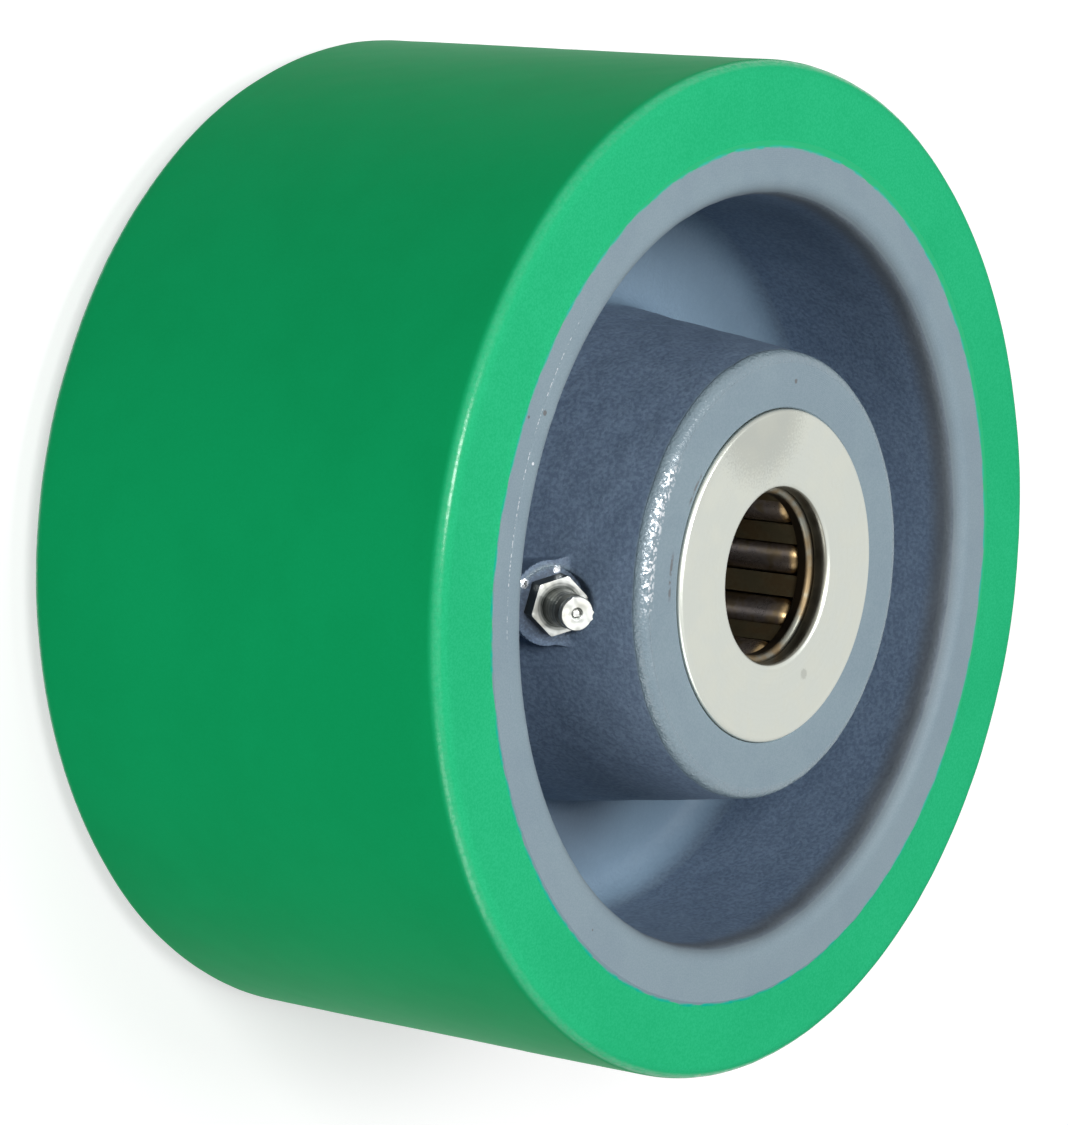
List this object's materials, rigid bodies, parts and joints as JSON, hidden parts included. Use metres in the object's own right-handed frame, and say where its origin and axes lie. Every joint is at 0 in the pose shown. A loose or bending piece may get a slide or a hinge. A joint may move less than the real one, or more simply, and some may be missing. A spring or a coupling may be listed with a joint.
{
  "type": "caster wheel",
  "caption": "Heavy caster wheel: a thick moulded tread on a cast, webbed core that turns on a caged roller bearing, with retaining washers and a grease fitting.",
  "frame": {"origin": "middle of the bore, halfway between the two washers' outer faces", "axes": "+Z along the bore's axis, towards the side with the grease fitting; +X from the axis towards the grease fitting; +Y completes the right-handed frame"},
  "size_m": [0.2032, 0.2032, 0.1118],
  "materials": {
    "tread": "satin",
    "cast_core": "painted, rough cast",
    "washers": "satin",
    "cage": "oiled",
    "rollers": "ground, greased",
    "fitting": "zinc plated",
    "check_ball": "polished",
    "spring_wire": "bright"
  },
  "bodies": {
    "wheel": {"tread": "tread", "wheel_core": "cast_core", "front_washer": "washers", "rear_washer": "washers", "grease_fitting": "fitting", "check_spring": "spring_wire"},
    "cage": {"front_cage_ring": "cage", "rear_cage_ring": "cage", "cage_bar_01": "cage", "cage_bar_02": "cage", "cage_bar_03": "cage", "cage_bar_04": "cage", "cage_bar_05": "cage", "cage_bar_06": "cage", "cage_bar_07": "cage", "cage_bar_08": "cage", "cage_bar_09": "cage", "cage_bar_10": "cage"},
    "roller_01": {"roller_01": "rollers"},
    "roller_02": {"roller_02": "rollers"},
    "roller_03": {"roller_03": "rollers"},
    "roller_04": {"roller_04": "rollers"},
    "roller_05": {"roller_05": "rollers"},
    "roller_06": {"roller_06": "rollers"},
    "roller_07": {"roller_07": "rollers"},
    "roller_08": {"roller_08": "rollers"},
    "roller_09": {"roller_09": "rollers"},
    "roller_10": {"roller_10": "rollers"},
    "check_ball": {"check_ball": "check_ball"}
  },
  "joints": [
    {"name": "cage_spin", "type": "hinge", "parent": "wheel", "child": "cage", "pos_m": [0, 0, 0], "axis": [0, 0, 1], "continuous": true},
    {"name": "roller_01_spin", "type": "hinge", "parent": "cage", "child": "roller_01", "pos_m": [0.02025, 0, 0], "axis": [0, 0, 1], "continuous": true},
    {"name": "roller_02_spin", "type": "hinge", "parent": "cage", "child": "roller_02", "pos_m": [0.01638, 0.0119, 0], "axis": [0, 0, 1], "continuous": true},
    {"name": "roller_03_spin", "type": "hinge", "parent": "cage", "child": "roller_03", "pos_m": [0.00626, 0.01926, 0], "axis": [0, 0, 1], "continuous": true},
    {"name": "roller_04_spin", "type": "hinge", "parent": "cage", "child": "roller_04", "pos_m": [-0.00626, 0.01926, 0], "axis": [0, 0, 1], "continuous": true},
    {"name": "roller_05_spin", "type": "hinge", "parent": "cage", "child": "roller_05", "pos_m": [-0.01638, 0.0119, 0], "axis": [0, 0, 1], "continuous": true},
    {"name": "roller_06_spin", "type": "hinge", "parent": "cage", "child": "roller_06", "pos_m": [-0.02025, 0, 0], "axis": [0, 0, 1], "continuous": true},
    {"name": "roller_07_spin", "type": "hinge", "parent": "cage", "child": "roller_07", "pos_m": [-0.01638, -0.0119, 0], "axis": [0, 0, 1], "continuous": true},
    {"name": "roller_08_spin", "type": "hinge", "parent": "cage", "child": "roller_08", "pos_m": [-0.00626, -0.01926, 0], "axis": [0, 0, 1], "continuous": true},
    {"name": "roller_09_spin", "type": "hinge", "parent": "cage", "child": "roller_09", "pos_m": [0.00626, -0.01926, 0], "axis": [0, 0, 1], "continuous": true},
    {"name": "roller_10_spin", "type": "hinge", "parent": "cage", "child": "roller_10", "pos_m": [0.01638, -0.0119, 0], "axis": [0, 0, 1], "continuous": true},
    {"name": "check_ball_travel", "type": "slide", "parent": "wheel", "child": "check_ball", "axis": [0.5, 0, 0.866], "range_m": [-0.001, 0], "stiffness_N_per_m": 120, "springref_m": 0.0004, "deforming": ["check_spring"]}
  ],
  "couplings": [
    {"joint": "roller_01_spin", "follows": "cage_spin", "ratio": -5.7209},
    {"joint": "roller_02_spin", "follows": "cage_spin", "ratio": -5.7209},
    {"joint": "roller_03_spin", "follows": "cage_spin", "ratio": -5.7209},
    {"joint": "roller_04_spin", "follows": "cage_spin", "ratio": -5.7209},
    {"joint": "roller_05_spin", "follows": "cage_spin", "ratio": -5.7209},
    {"joint": "roller_06_spin", "follows": "cage_spin", "ratio": -5.7209},
    {"joint": "roller_07_spin", "follows": "cage_spin", "ratio": -5.7209},
    {"joint": "roller_08_spin", "follows": "cage_spin", "ratio": -5.7209},
    {"joint": "roller_09_spin", "follows": "cage_spin", "ratio": -5.7209},
    {"joint": "roller_10_spin", "follows": "cage_spin", "ratio": -5.7209}
  ]
}
